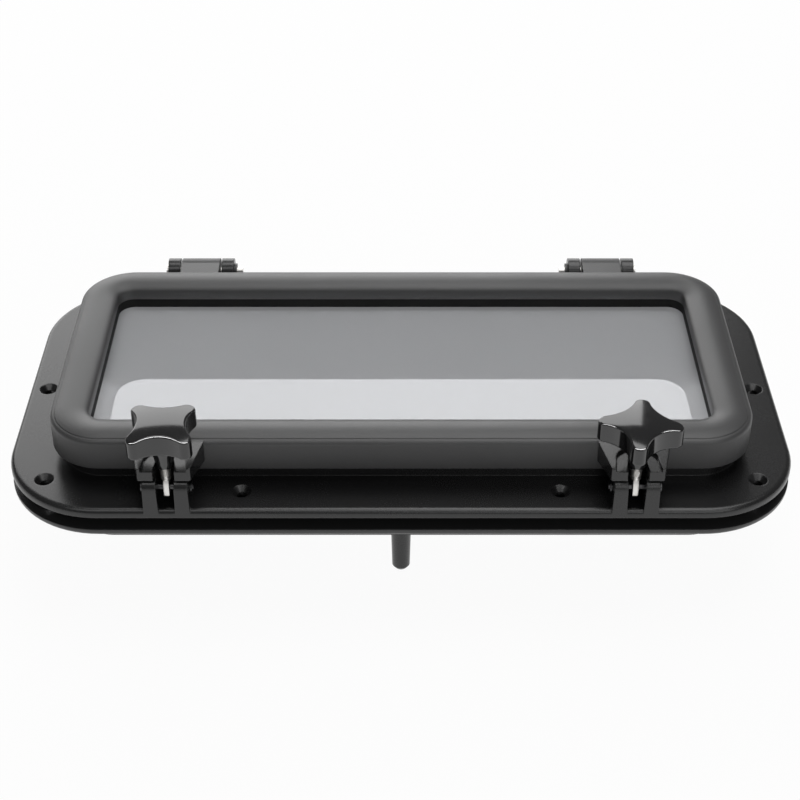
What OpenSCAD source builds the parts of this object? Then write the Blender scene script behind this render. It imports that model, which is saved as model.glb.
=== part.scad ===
// Opening boat hatch: a flanged frame with a spigot and trim ring,
// and a hinged glazed lid held shut by two swing bolts with lobed knobs.
// The origin is the centre of the flange's hull face. The latches face -Y and the hinges +Y.

/* [Flange] */
// Width of the flange over its outer edge
flange_w = 444; // [410:1:500]
// Depth of the flange over its outer edge
flange_d = 228; // [212:1:260]
// Corner radius of the flange outline
flange_r = 56; // [52:1:64]
// Thickness of the flange
flange_t = 5; // [4:0.5:7]
// Rounding of the flange's upper edge
flange_edge = 3; // [1:0.5:3.5]
// Width of the flange from its outer edge to the spigot
flange_rim = 35; // [34:0.5:37]

/* [Screw holes] */
// Diameter of the screw holes
screw_d = 5.2; // [4:0.1:6.5]
// Diameter of the countersinks at the flange's face
screw_cs_d = 11; // [9:0.5:12.5]
// Side holes: distance from the flange's outer edge
screw_side_in = 11; // [9:0.5:13]
// Corner holes: distance from the rounded corner's edge
screw_corner_in = 12.6; // [10:0.2:14]
// Direction of the corner holes from the corner's centre
screw_corner_angle = 41; // [35:1:55]
// Front and back holes: distance from the flange's outer edge
screw_front_in = 17.3; // [14:0.1:18]
// Front and back holes: distance from the centre line
screw_front_x = 88; // [60:1:95]

/* [Spigot and coaming] */
// Wall thickness of the spigot
spigot_wall = 3.5; // [2.5:0.1:4.5]
// Length of the spigot below the flange's hull face
spigot_len = 42; // [30:1:60]
// Height of the coaming above the flange
coaming_h = 13; // [12:0.5:16]
// Chamfer on the coaming's outer edge
coaming_chamfer = 2; // [1.5:0.1:2.5]

/* [Trim ring] */
// Thickness of the trim ring
trim_t = 4.5; // [4:0.1:7]
// Gap for the hull between the flange and the trim ring
hull_t = 8.5; // [6:0.5:20]
// Rounding of the trim ring's outer edge
trim_edge = 3; // [1:0.5:3.5]
// Clearance between the trim ring and the spigot
trim_clear = 0.3; // [0.2:0.05:0.6]
// Diameter of the screw pilots in the trim ring
pilot_d = 3.6; // [2.5:0.1:4.2]
// Diameter of the shallow counterbore around each pilot
pilot_cb_d = 11; // [8:0.5:14]

/* [Drain spout] */
// Outer diameter of the drain spout
spout_d = 11.6; // [10:0.2:13]
// Bore of the drain spout
spout_bore = 5; // [3:0.2:6]
// Length of the spout below the end of the spigot
spout_len = 29; // [15:1:45]
// Length of the plug that sits in the spigot's socket
spout_plug = 11; // [8:0.5:16]
// Wall of the plug around the bore
plug_wall = 1.5; // [1:0.1:2.2]
// Distance of the spout from the spigot's outer face
spout_in = 0.6; // [0.4:0.1:2]
// Height of the rounded end of the spout
spout_tip = 2; // [1:0.1:4]
// Height of the socket's boss above the plug
boss_cap = 4; // [3:0.5:8]

/* [Lid] */
// Inset of the lid from the flange's outer edge
lid_inset = 25; // [24:0.25:26]
// Gap between the flange and the lid's lower edge
lid_gap = 9.5; // [8:0.5:11]
// Height of the lid's outer side up to the edge of its crown
lid_h = 19.1; // [18:0.1:24]
// Rounding of the lid's upper outer edge
lid_edge = 2.7; // [1.5:0.1:4]
// Width of the lid's rails
rail_w = 21.6; // [20:0.2:24]
// Height of the crown's arc above its chord
crown_rise = 2; // [1:0.1:4]
// Drop of the crown's inner edge below its outer edge
crown_drop = 1.2; // [0:0.1:3]
// Thickness of the lid's skirt
skirt_t = 3.5; // [2.5:0.1:4.5]
// Clearance between the lid's skirt and the coaming
skirt_gap = 2.5; // [2:0.1:3]
// Room for the gasket between the coaming and the lid
gasket_room = 5; // [4:0.1:6]

/* [Glazing] */
// Thickness of the glass pane
glass_t = 6; // [4:0.5:8]
// Height of the seal's visible band above the glass
seal_h = 5.7; // [4.5:0.1:6.5]
// Depth of the glass below the crown's inner edge
glass_drop = 12.5; // [11:0.1:13.5]
// Thickness of the seal around the glass edge
seal_side = 1.2; // [0.8:0.1:2]
// Thickness of the rib around the glass
rib_t = 1.8; // [1.4:0.1:2.4]
// Clearance between that rib and the inside of the spigot
rib_clear = 0.8; // [0.5:0.1:1.5]
// Clearance between the gasket and the coaming
gasket_clear = 0.1; // [0.05:0.05:0.3]
// Width of the lid gasket
gasket_w = 4.5; // [3:0.1:5]

/* [Hinge] */
// Distance of the hinges and latches from the centre line
latch_x = 127.5; // [112:0.5:132]
// Distance of the hinge axis from the flange's back edge
hinge_in = 11.5; // [10.5:0.5:13]
// Height of the hinge axis below the lid's crown edge
hinge_down = 8.7; // [8:0.1:11]
// Radius of the hinge barrels
barrel_r = 8; // [6.5:0.1:8.4]
// Width of the lid's hinge leaf
leaf_w = 24; // [18:0.5:28]
// Width of each knuckle on the frame
knuckle_w = 7.6; // [5:0.2:10]
// Side gap between leaf and knuckle
knuckle_gap = 1.2; // [0.4:0.1:2]
// Diameter of the hinge pins
hinge_pin_d = 5; // [4:0.1:6]
// Length of the hinge pins past their clips' side of the hinge
hinge_pin_out = 5.5; // [3:0.1:8]
// Thickness of pin heads
pin_head_t = 1.5; // [1:0.1:2.5]
// Side play between a pin's head or clip and what it bears on
pin_play = 0.1; // [0.05:0.05:0.3]
// Thickness of the hinge clips
clip_t = 1.6; // [1:0.1:2.5]
// Radial running clearance of pins in their holes
run_clear = 0.05; // [0.02:0.01:0.09]

/* [Latch] */
// Distance of the trunnion pin from the flange's front edge
trunnion_in = 10; // [9:0.5:11]
// Height of the trunnion pin above the flange
trunnion_up = 9.4; // [8:0.2:11]
// Thickness of each latch lug at its top
lug_t = 7.2; // [5:0.1:8.5]
// Extra lug thickness on each side at the flange
lug_draft = 0.5; // [0:0.1:0.8]
// Gap between the two lugs
lug_gap = 10; // [8:0.2:11]
// Height of the lugs above the trunnion pin
lug_above = 9.3; // [7:0.1:9.6]
// Rounding of the lugs' upper front corners
lug_front_r = 5.8; // [2:0.1:7]
// Rounding of the lugs' upper back corners
lug_back_r = 7; // [4:0.1:8]
// Clearance between the lugs and the fork brackets over them
lug_clear = 0.8; // [0.5:0.1:1.2]
// Diameter of the trunnion pin
trunnion_d = 4; // [3:0.1:5]
// Width of the swing bolt's flat tongue along the trunnion pin
eye_t = 3.2; // [2.5:0.1:4.5]
// Depth of the swing bolt's flat tongue from front to back
eye_deep = 8.4; // [7:0.1:9]
// Length of the tongue below the trunnion pin
eye_below = 4.4; // [3.6:0.1:5]
// Rounding of the tongue's lower corners
eye_corner = 1.2; // [0.5:0.1:2]
// Diameter of the swing bolt's thread
bolt_d = 6; // [5:0.1:7]
// Height above the trunnion pin at which the swing bolt's thread starts
shank_from = 7; // [6:0.1:9]
// Chamfer on the swing bolt's end
bolt_chamfer = 1; // [0.5:0.1:1.5]
// Thickness of the trunnion clips
trunnion_clip_t = 1; // [0.6:0.1:1.5]
// Length of the trunnion pins past the lugs on the clips' side
trunnion_out = 1.8; // [1.4:0.1:4]
// Length of the swing bolt above the trunnion pin
bolt_len = 37.6; // [35:0.1:38.4]

/* [Fork bracket] */
// Height of the fork bracket's top below the crown's edge
fork_below = 0.5; // [0.2:0.1:2]
// Half width of the fork bracket at the lid
fork_root = 20.3; // [18:0.1:24]
// Half width of the fork bracket at its front end
fork_tip = 14.6; // [13:0.1:17]
// Distance of the fork's front end from the flange's front edge
fork_end_in = 1; // [0.5:0.5:4]
// Height of the fork bracket at its root
fork_h = 13; // [11:0.5:15]
// Rise of the fork bracket's underside towards its front end
fork_rise = 5; // [4:0.5:6]
// Width of the fork's slot at the bolt
slot_w = 10; // [9:0.1:10.6]
// Extra half width of the slot at its mouth
slot_flare = 1; // [0.6:0.1:1.6]
// Diameter of the seat around the bolt
seat_d = 23; // [19:0.5:24]
// Depth of the seat below the fork's top
seat_depth = 2; // [1.5:0.1:3]
// Width of the horn that stands at each arm's outer front corner
horn_w = 2; // [1.2:0.1:3]
// Chamfer on each arm's outer front corner
fork_corner = 0.8; // [0.4:0.1:1.5]

/* [Knob] */
// Overall radius of the knob over its lobes
knob_r = 22.8; // [20:0.2:24]
// Radius of each lobe's tip
knob_tip_r = 4.2; // [3:0.1:5.5]
// Distance of the hollow flanks from the knob's axis
knob_waist = 13.4; // [10.5:0.1:15]
// Height of the knob's head at the rim
knob_head_h = 11.4; // [10.5:0.1:14]
// Height of the dome on the knob's head
knob_dome = 2.2; // [1:0.1:3]
// Length of the knob's conical hub
hub_len = 16.2; // [13:0.1:18]
// Depth of the hub's nose below the seat
hub_in = 2; // [1:0.1:3]
// Radius of the hub where it meets the head
hub_top_r = 7.9; // [7.4:0.1:9]
// Clearance of the hub in the fork's slot at rest
hub_clear = 0.06; // [0.04:0.01:0.2]
// Outer diameter of the threaded insert
insert_d = 9; // [8.4:0.1:9.8]
// Length of the threaded insert
insert_len = 14; // [10:0.5:15]
// Depth of the insert below the bolt's end
insert_down = 1; // [0.5:0.1:2]
// Room above the bolt's end inside the knob
pocket_room = 1.2; // [0.8:0.1:2]
// Radial clearance of the bolt in the knob's hub
hub_bore_clear = 0.3; // [0.2:0.05:0.5]
// Turn of the left knob about its bolt
knob_turn_left = 46; // [0:1:89]
// Turn of the right knob about its bolt
knob_turn_right = 81.5; // [0:0.5:89.5]

/* [Hidden] */
$fn = 72;
fx = flange_w / 2;
fy = flange_d / 2;
// offsets from the flange's outer edge, inwards
u_spigot = -flange_rim;
u_inner = -flange_rim - spigot_wall;
u_coaming = -lid_inset - skirt_t - skirt_gap;
// the lid's outline
lx = fx - lid_inset;
ly = fy - lid_inset;
lr = flange_r - lid_inset;
// the same offsets from the lid's outer face
v_inner = u_inner + lid_inset;
v_coaming = u_coaming + lid_inset;
// heights
z_coaming = flange_t + coaming_h;
z_lid = flange_t + lid_gap;
z_crown = z_lid + lid_h;
z_crown_in = z_crown - crown_drop;
z_glass = z_crown_in - glass_drop;
z_ledge = z_glass + seal_h;
z_glass_low = z_glass - glass_t;
z_ceiling = z_coaming + gasket_room;
z_trim = -hull_t;
// the rib around the glass, clear of the coaming
v_rib = v_inner - rib_clear;
v_rib_in = v_rib - rib_t;
v_glass = v_rib_in - seal_side;
v_gasket = (v_coaming - coaming_chamfer + v_inner) / 2;
// hinge
hinge_y = fy - hinge_in;
hinge_z = z_crown - hinge_down;
knuckle_in = leaf_w / 2 + knuckle_gap;
knuckle_out = knuckle_in + knuckle_w;
// latch
latch_y = -fy + trunnion_in;
trunnion_z = flange_t + trunnion_up;
fork_z = z_crown - fork_below;
fork_y = -fy + fork_end_in;
seat_z = fork_z - seat_depth;
hub_nose_z = seat_z - hub_in;
head_z = hub_nose_z + hub_len;
knob_top = head_z + knob_head_h + knob_dome;
// the hub's cone meets the slot's edges at the seat
hub_seat_r = slot_w / 2 - hub_clear;
hub_nose_r = hub_seat_r - (hub_top_r - hub_seat_r) * hub_in / (hub_len - hub_in);
bolt_top = trunnion_z + bolt_len;
insert_z = bolt_top - insert_len - insert_down;
pocket_top = bolt_top + pocket_room;
// drain spout, just inside the spigot's outer face
spout_y = -fy + flange_rim + spout_d / 2 + spout_in;
plug_r = spout_bore / 2 + plug_wall;

// points of an arc from angle a0 to a1
function arc(x, y, r, a0, a1, n) =
    [for (i = [0 : n]) let (a = a0 + (a1 - a0) * i / n) [x + r * cos(a), y + r * sin(a)]];

// centre and half angle of the crown's arc over its chord
crown_x0 = -lid_edge;
crown_x1 = -rail_w;
crown_c = norm([crown_x1 - crown_x0, z_crown_in - z_crown]) / 2;
crown_R = (crown_c * crown_c + crown_rise * crown_rise) / (2 * crown_rise);
crown_half = asin(crown_c / crown_R);
crown_tilt = atan2(crown_drop, rail_w - lid_edge);
crown_mx = (crown_x0 + crown_x1) / 2 + (crown_R - crown_rise) * sin(crown_tilt);
crown_mz = (z_crown + z_crown_in) / 2 - (crown_R - crown_rise) * cos(crown_tilt);

// screw positions: two sides, four corners, four on the front and back
corner_x = fx - flange_r + (flange_r - screw_corner_in) * cos(screw_corner_angle);
corner_y = fy - flange_r + (flange_r - screw_corner_in) * sin(screw_corner_angle);
screw_points = concat([for (s = [-1, 1]) [s * (fx - screw_side_in), 0]],
    [for (s = [-1, 1], t = [-1, 1]) [s * corner_x, t * corner_y]],
    [for (s = [-1, 1], t = [-1, 1]) [s * screw_front_x, t * (fy - screw_front_in)]]);

// a profile swept round a rounded rectangle: x is measured from the outline, y is height
module ring(hx, hy, r) {
    for (s = [0 : 3]) {
        along = (s % 2 == 0) ? hy - r : hx - r;
        across = (s % 2 == 0) ? hx : hy;
        rotate([0, 0, s * 90]) {
            translate([across, along, 0]) rotate([90, 0, 0]) linear_extrude(2 * along) children();
            translate([across - r, along, 0]) rotate_extrude(angle = 90) translate([r, 0]) children();
        }
    }
}

// a 2D rounded rectangle
module rounded(hx, hy, r) {
    polygon(concat(arc(hx - r, hy - r, r, 0, 90, 12), arc(-hx + r, hy - r, r, 90, 180, 12),
        arc(-hx + r, -hy + r, r, 180, 270, 12), arc(hx - r, -hy + r, r, 270, 360, 12)));
}

// a cylinder along X from x0 to x1
module rod(x0, x1, d) {
    translate([x0, 0, 0]) rotate([0, 90, 0]) cylinder(d = d, h = x1 - x0);
}

// children placed at the hinge or the latch of one side
module at_hinge(s) {
    translate([s * latch_x, hinge_y, hinge_z]) children();
}
module at_trunnion(s) {
    translate([s * latch_x, latch_y, trunnion_z]) children();
}
module at_bolt(s) {
    translate([s * latch_x, latch_y, 0]) children();
}

module base_profile() {
    polygon(concat([[u_inner, -spigot_len], [u_spigot, -spigot_len], [u_spigot, 0], [0, 0]],
        arc(-flange_edge, flange_t - flange_edge, flange_edge, 0, 90, 6),
        [[u_coaming, flange_t], [u_coaming, z_coaming - coaming_chamfer],
        [u_coaming - coaming_chamfer, z_coaming], [u_inner, z_coaming]]));
}

// one latch lug: tapered across, rounded on top
module lug(x) {
    top = trunnion_z + lug_above;
    back = 2 * trunnion_in;
    intersection() {
        translate([x, -fy + back, 0]) rotate([90, 0, 0]) linear_extrude(back)
            polygon([[-lug_t / 2 - lug_draft, 0], [lug_t / 2 + lug_draft, 0],
                [lug_t / 2, top], [-lug_t / 2, top]]);
        translate([x - lug_t, -fy, 0]) rotate([90, 0, 90]) linear_extrude(2 * lug_t)
            polygon(concat([[0, 0], [back, 0]],
                arc(back - lug_back_r, top - lug_back_r, lug_back_r, 0, 90, 8),
                arc(lug_front_r, top - lug_front_r, lug_front_r, 90, 180, 8)));
    }
}

// one hinge knuckle with its foot on the flange, x0 to x1 from the hinge's middle
module knuckle(x0, x1) {
    rod(x0, x1, 2 * barrel_r);
    translate([x0, -barrel_r * 0.88, flange_t - 1 - hinge_z])
        cube([x1 - x0, barrel_r * 1.76, hinge_z - flange_t + 1]);
}

module base_frame() {
    color([0.05, 0.05, 0.055]) difference() {
        union() {
            ring(fx, fy, flange_r) base_profile();
            for (s = [-1, 1], t = [-1, 1]) lug(s * latch_x + t * (lug_gap + lug_t) / 2);
            for (s = [-1, 1]) at_hinge(s) {
                knuckle(knuckle_in, knuckle_out);
                knuckle(-knuckle_out, -knuckle_in);
            }
            translate([0, spout_y, -spigot_len]) cylinder(r = spout_d / 2 + 0.2, h = spout_plug + boss_cap);
        }
        for (p = screw_points) translate([p[0], p[1], 0]) {
            translate([0, 0, -1]) cylinder(d = screw_d, h = flange_t + 2);
            translate([0, 0, flange_t - (screw_cs_d - screw_d) / 2])
                cylinder(d1 = screw_d, d2 = screw_cs_d + 1, h = (screw_cs_d + 1 - screw_d) / 2);
        }
        for (s = [-1, 1]) at_hinge(s) rod(-knuckle_out - 1, knuckle_out + 1, hinge_pin_d + 2 * run_clear);
        for (s = [-1, 1]) at_trunnion(s)
            rod(-lug_gap / 2 - lug_t - 2, lug_gap / 2 + lug_t + 2, trunnion_d + 2 * run_clear);
        // the socket for the spout, and the drain hole that leads into it
        translate([0, spout_y, -spigot_len - 1]) cylinder(r = plug_r + run_clear, h = spout_plug + 1.5);
        translate([0, spout_y, -spigot_len + spout_plug - spout_bore / 2]) rotate([-90, 0, 0])
            cylinder(d = spout_bore, h = spout_d);
    }
}

module trim_profile() {
    polygon(concat([[u_spigot + trim_clear, z_trim - trim_t]],
        arc(-trim_edge, z_trim - trim_t + trim_edge, trim_edge, -90, 0, 6),
        [[0, z_trim], [u_spigot + trim_clear, z_trim]]));
}

module trim_ring() {
    color([0.05, 0.05, 0.055]) difference() {
        ring(fx, fy, flange_r) trim_profile();
        for (p = screw_points) translate([p[0], p[1], z_trim]) {
            translate([0, 0, 1 - trim_t]) cylinder(d = pilot_d, h = trim_t);
            translate([0, 0, -0.6]) cylinder(d = pilot_cb_d, h = 2);
        }
    }
}

module drain_spout() {
    color([0.05, 0.05, 0.055]) translate([0, spout_y, -spigot_len]) difference() {
        union() {
            translate([0, 0, spout_tip - spout_len])
                cylinder(d1 = spout_d - 1.2, d2 = spout_d, h = spout_len - spout_tip);
            translate([0, 0, -spout_len]) cylinder(d1 = spout_d - 4, d2 = spout_d - 1.2, h = spout_tip);
            translate([0, 0, -1]) cylinder(r = plug_r, h = spout_plug + 1);
        }
        translate([0, 0, -spout_len - 1]) cylinder(d = spout_bore, h = spout_len + spout_plug + 2);
    }
}

module lid_profile() {
    polygon(concat([[0, z_lid]],
        arc(-lid_edge, z_crown - lid_edge - 0.3, lid_edge, 0, 90, 7),
        arc(crown_mx, crown_mz, crown_R, 90 + crown_tilt - crown_half, 90 + crown_tilt + crown_half, 16),
        [[-rail_w, z_ledge], [v_rib_in, z_ledge], [v_rib_in, z_glass_low], [v_rib, z_glass_low],
        [v_rib, z_ceiling], [-skirt_t, z_ceiling], [-skirt_t, z_lid]]));
}

// a fork bracket on the lid's front: its underside rises towards the front end
module fork(s) {
    root = ly - skirt_t + 0.5;
    run = -fork_y - root;
    tip = fork_y + fork_corner;
    difference() {
        translate([s * latch_x, 0, fork_z - fork_h]) linear_extrude(fork_h)
            polygon([[-fork_root, -root], [-fork_tip, tip], [-fork_tip + fork_corner, fork_y],
                [fork_tip - fork_corner, fork_y], [fork_tip, tip], [fork_root, -root]]);
        translate([s * latch_x - 2 * fork_root, -root, fork_z - fork_h]) rotate([90, 0, 90])
            linear_extrude(4 * fork_root)
                polygon([[0, -1], [0, 0], [-run - 1, fork_rise * (1 + 1 / run)], [-run - 1, -1]]);
    }
}

// what is cut out of a fork: the slot with its flared mouth, the seat for the knob's hub,
// which runs out between the horns at the front, and the hollow over the latch lugs
module fork_cut(s) {
    mouth = slot_w / 2 + slot_flare;
    front = fork_y - latch_y - 1;
    low = fork_z - fork_h - 1;
    hollow = lug_gap / 2 + lug_t + lug_draft + lug_clear;
    at_bolt(s) {
        translate([0, 0, low]) cylinder(d = slot_w, h = fork_h + 2);
        translate([0, 0, low]) linear_extrude(fork_h + 2)
            polygon([[-slot_w / 2, 0], [-mouth, front], [mouth, front], [slot_w / 2, 0]]);
        translate([0, 0, seat_z]) cylinder(d = seat_d, h = seat_depth + 1);
        translate([0, 0, seat_z]) linear_extrude(seat_depth + 1)
            polygon([[-seat_d / 2 + 0.2, 0], [horn_w - fork_tip, front],
                [fork_tip - horn_w, front], [seat_d / 2 - 0.2, 0]]);
        translate([-hollow, front, low])
            cube([2 * hollow, -ly - 1.5 - latch_y - front, trunnion_z + lug_above + lug_clear - low]);
    }
}

// a hinge leaf on the lid's back
module leaf(s) {
    back = hinge_y - ly + skirt_t - 0.5;
    at_hinge(s) {
        rod(-leaf_w / 2, leaf_w / 2, 2 * barrel_r);
        translate([-leaf_w / 2, -back, -0.4 * barrel_r]) cube([leaf_w, back, 1.35 * barrel_r]);
    }
}

module lid_frame() {
    color([0.06, 0.06, 0.065]) difference() {
        union() {
            ring(lx, ly, lr) lid_profile();
            for (s = [-1, 1]) fork(s);
            for (s = [-1, 1]) leaf(s);
        }
        for (s = [-1, 1]) fork_cut(s);
        for (s = [-1, 1]) at_hinge(s) rod(-leaf_w, leaf_w, hinge_pin_d + 2 * run_clear);
    }
}

module glass_pane() {
    g = v_glass;
    color([0.35, 0.37, 0.4, 0.5]) translate([0, 0, z_glass_low]) linear_extrude(glass_t)
        rounded(lx + g, ly + g, lr + g);
}

module glazing_seal() {
    color([0.02, 0.02, 0.02]) ring(lx, ly, lr)
        polygon([[-rail_w, z_glass], [v_glass, z_glass], [v_glass, z_glass_low], [v_rib_in, z_glass_low],
        [v_rib_in, z_ledge], [-rail_w, z_ledge]]);
}

module lid_gasket() {
    w = gasket_w / 2;
    low = z_coaming + gasket_clear;
    color([0.02, 0.02, 0.02]) ring(lx, ly, lr)
        polygon(concat([[v_gasket + w, z_ceiling], [v_gasket - w, z_ceiling]],
            arc(v_gasket, low + w, w, 180, 360, 8)));
}

// a hinge pin: a head outside the outer knuckle, its inner end standing out past the clip
module hinge_pin(s) {
    at_hinge(s) mirror([s < 0 ? 1 : 0, 0, 0]) {
        rod(-knuckle_out - hinge_pin_out, knuckle_out + pin_head_t / 2, hinge_pin_d);
        rod(knuckle_out + pin_play, knuckle_out + pin_play + pin_head_t, hinge_pin_d + 3);
    }
}
module hinge_pin_left() {
    color([0.7, 0.7, 0.72]) hinge_pin(-1);
}
module hinge_pin_right() {
    color([0.7, 0.7, 0.72]) hinge_pin(1);
}

module hinge_clip(s) {
    at_hinge(s) mirror([s < 0 ? 1 : 0, 0, 0]) difference() {
        rod(-knuckle_out - pin_play - clip_t, -knuckle_out - pin_play, hinge_pin_d + 4.5);
        rod(-knuckle_out - 2 * clip_t, -knuckle_out + 1, hinge_pin_d + 2 * run_clear);
    }
}
module hinge_clip_left() {
    color([0.1, 0.1, 0.1]) hinge_clip(-1);
}
module hinge_clip_right() {
    color([0.1, 0.1, 0.1]) hinge_clip(1);
}

// an eye bolt: a flat tongue on the trunnion pin, a swaged neck and the threaded shank
module tongue_outline() {
    half = eye_deep / 2;
    corner = half - eye_corner;
    polygon(concat([[half, 0], [bolt_d / 2, shank_from - 1], [-bolt_d / 2, shank_from - 1], [-half, 0]],
        arc(-corner, eye_corner - eye_below, eye_corner, 180, 270, 6),
        arc(corner, eye_corner - eye_below, eye_corner, 270, 360, 6)));
}
module swing_bolt(s) {
    difference() {
        union() {
            at_trunnion(s) translate([-eye_t / 2, 0, 0]) rotate([90, 0, 90]) linear_extrude(eye_t)
                tongue_outline();
            at_trunnion(s) translate([0, 0, shank_from / 2 + 0.5])
                cylinder(d1 = eye_t * 0.9, d2 = bolt_d, h = shank_from / 2 - 0.5);
            at_trunnion(s) translate([0, 0, shank_from])
                cylinder(d = bolt_d, h = bolt_len - shank_from - bolt_chamfer);
            at_trunnion(s) translate([0, 0, bolt_len - bolt_chamfer])
                cylinder(d1 = bolt_d, d2 = bolt_d - 1.6 * bolt_chamfer, h = bolt_chamfer);
        }
        at_trunnion(s) rod(-eye_t, eye_t, trunnion_d + 2 * run_clear);
    }
}
module swing_bolt_left() {
    color([0.75, 0.74, 0.72]) swing_bolt(-1);
}
module swing_bolt_right() {
    color([0.75, 0.74, 0.72]) swing_bolt(1);
}

// a trunnion pin: a head outside the outer lug, the other end standing out past its clip
module trunnion_pin(s) {
    out = lug_gap / 2 + lug_t + lug_draft;
    at_trunnion(s) mirror([s < 0 ? 1 : 0, 0, 0]) {
        rod(-out - trunnion_out, out + pin_head_t / 2, trunnion_d);
        rod(out + pin_play, out + pin_play + pin_head_t, trunnion_d + 2.4);
    }
}
module trunnion_pin_left() {
    color([0.12, 0.12, 0.12]) trunnion_pin(-1);
}
module trunnion_pin_right() {
    color([0.12, 0.12, 0.12]) trunnion_pin(1);
}

module trunnion_clip(s) {
    out = lug_gap / 2 + lug_t + lug_draft;
    at_trunnion(s) mirror([s < 0 ? 1 : 0, 0, 0]) difference() {
        rod(-out - pin_play - trunnion_clip_t, -out - pin_play, trunnion_d + 3);
        rod(-out - 2 * trunnion_clip_t, -out + 1, trunnion_d + 2 * run_clear);
    }
}
module trunnion_clip_left() {
    color([0.12, 0.12, 0.12]) trunnion_clip(-1);
}
module trunnion_clip_right() {
    color([0.12, 0.12, 0.12]) trunnion_clip(1);
}

// the knob's outline: four lobe tips joined by hollow flanks that run smoothly into them
tip_c = knob_r - knob_tip_r;
flank_k = knob_tip_r - knob_waist;
flank_c = (tip_c * tip_c - flank_k * flank_k) / (2 * flank_k + sqrt(2) * tip_c);
flank_r = flank_c - knob_waist;
flank_p = flank_c / sqrt(2);
tip_a = atan2(flank_p, flank_p - tip_c);
flank_a = atan2(-flank_p, tip_c - flank_p);
module knob_outline() {
    lobe = concat(arc(tip_c, 0, knob_tip_r, -tip_a, tip_a, 12),
        [for (i = [1 : 11]) let (a = flank_a - (270 + 2 * flank_a) * i / 12)
            [flank_p + flank_r * cos(a), flank_p + flank_r * sin(a)]]);
    polygon([for (q = [0 : 3], p = lobe)
        [cos(q * 90) * p[0] - sin(q * 90) * p[1], sin(q * 90) * p[0] + cos(q * 90) * p[1]]]);
}

module knob(s, turn) {
    R = (knob_r * knob_r + knob_dome * knob_dome) / (2 * knob_dome);
    at_bolt(s) difference() {
        union() {
            rotate([0, 0, turn]) intersection() {
                translate([0, 0, head_z]) linear_extrude(knob_head_h + knob_dome) knob_outline();
                translate([0, 0, knob_top - R]) sphere(r = R);
            }
            translate([0, 0, hub_nose_z]) cylinder(r1 = hub_nose_r, r2 = hub_top_r, h = hub_len + 1);
        }
        translate([0, 0, hub_nose_z - 1])
            cylinder(d = bolt_d + 2 * hub_bore_clear, h = insert_z - hub_nose_z + 2);
        translate([0, 0, insert_z - pin_play])
            cylinder(d = insert_d + 2 * run_clear, h = pocket_top - insert_z + pin_play);
    }
}
module knob_left() {
    color([0.03, 0.03, 0.035]) knob(-1, knob_turn_left);
}
module knob_right() {
    color([0.03, 0.03, 0.035]) knob(1, knob_turn_right);
}

module knob_insert(s) {
    at_bolt(s) difference() {
        translate([0, 0, insert_z]) cylinder(d = insert_d, h = insert_len);
        translate([0, 0, insert_z - 1]) cylinder(d = bolt_d + 2 * run_clear, h = insert_len + 2);
    }
}
module knob_insert_left() {
    color([0.8, 0.62, 0.3]) knob_insert(-1);
}
module knob_insert_right() {
    color([0.8, 0.62, 0.3]) knob_insert(1);
}

base_frame();
trim_ring();
drain_spout();
lid_frame();
glass_pane();
glazing_seal();
lid_gasket();
hinge_pin_left();
hinge_pin_right();
hinge_clip_left();
hinge_clip_right();
swing_bolt_left();
swing_bolt_right();
trunnion_pin_left();
trunnion_pin_right();
trunnion_clip_left();
trunnion_clip_right();
knob_left();
knob_right();
knob_insert_left();
knob_insert_right();
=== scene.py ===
"""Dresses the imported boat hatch: lobed knobs, threaded swing bolts, finishes and a white studio."""

import math

import bpy
from bpy.props import FloatProperty, FloatVectorProperty, PointerProperty
from bpy.types import Operator, Panel, PropertyGroup
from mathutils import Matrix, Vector


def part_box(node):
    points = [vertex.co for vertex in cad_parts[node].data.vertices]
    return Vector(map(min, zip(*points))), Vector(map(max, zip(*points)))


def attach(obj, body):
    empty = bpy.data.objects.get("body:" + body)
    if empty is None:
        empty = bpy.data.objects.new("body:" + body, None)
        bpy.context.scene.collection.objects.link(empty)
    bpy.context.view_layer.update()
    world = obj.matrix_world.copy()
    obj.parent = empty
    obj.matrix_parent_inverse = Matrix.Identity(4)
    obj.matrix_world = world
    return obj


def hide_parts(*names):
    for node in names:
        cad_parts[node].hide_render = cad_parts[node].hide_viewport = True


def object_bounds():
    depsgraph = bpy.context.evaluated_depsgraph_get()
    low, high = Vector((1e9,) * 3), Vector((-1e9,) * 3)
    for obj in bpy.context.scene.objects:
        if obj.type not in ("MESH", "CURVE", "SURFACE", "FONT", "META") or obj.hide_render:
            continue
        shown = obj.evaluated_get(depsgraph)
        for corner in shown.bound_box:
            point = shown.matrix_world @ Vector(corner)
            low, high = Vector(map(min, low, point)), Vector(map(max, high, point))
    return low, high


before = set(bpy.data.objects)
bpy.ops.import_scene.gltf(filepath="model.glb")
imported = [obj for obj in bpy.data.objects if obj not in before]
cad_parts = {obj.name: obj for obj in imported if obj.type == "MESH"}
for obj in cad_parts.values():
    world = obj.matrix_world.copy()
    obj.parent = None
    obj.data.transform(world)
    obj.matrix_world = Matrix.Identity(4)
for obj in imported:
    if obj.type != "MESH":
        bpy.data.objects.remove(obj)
CAD_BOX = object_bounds()

bl_info = {
    "name": "Boat hatch dressing",
    "version": (1, 0, 0),
    "blender": (4, 5, 0),
    "location": "View3D > Sidebar > Hatch",
    "description": "Knobs, swing bolts, finishes and studio for the opening boat hatch",
    "category": "Object",
}

# lid, in metres: length of the smooth fork brackets ahead of it, and the distance from
# its outline at which the inner part of its rail begins
FORK_LENGTH = 0.0235
RAIL_INSIDE = 0.014

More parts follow.
